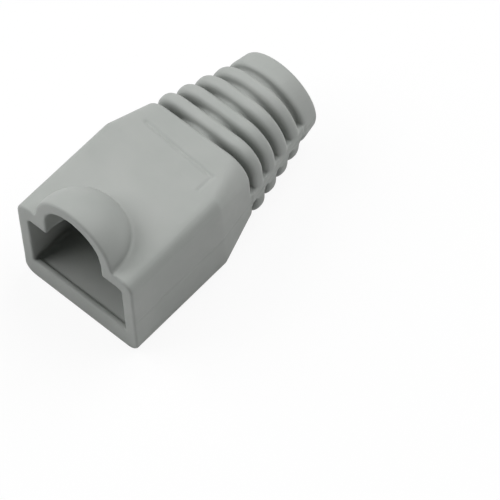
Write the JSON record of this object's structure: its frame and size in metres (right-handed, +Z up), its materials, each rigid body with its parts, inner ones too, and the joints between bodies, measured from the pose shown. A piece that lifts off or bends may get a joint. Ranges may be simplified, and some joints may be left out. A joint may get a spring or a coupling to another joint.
{
  "type": "rj45 strain relief boot",
  "caption": "Soft moulded sleeve for a modular network plug: box socket with a domed latch hood over the mouth, tapering to a ribbed neck and a round cable collar.",
  "frame": {"origin": "centre of the plug socket's mouth", "axes": "+Y runs the way the plug goes in, from the mouth to the cable collar; +Z is up through the latch hood; +X is across"},
  "size_m": [0.0144, 0.0283, 0.0158],
  "materials": {
    "grey_pvc": "matt moulded soft PVC"
  },
  "bodies": {
    "root": {"boot": "grey_pvc"}
  },
  "joints": []
}
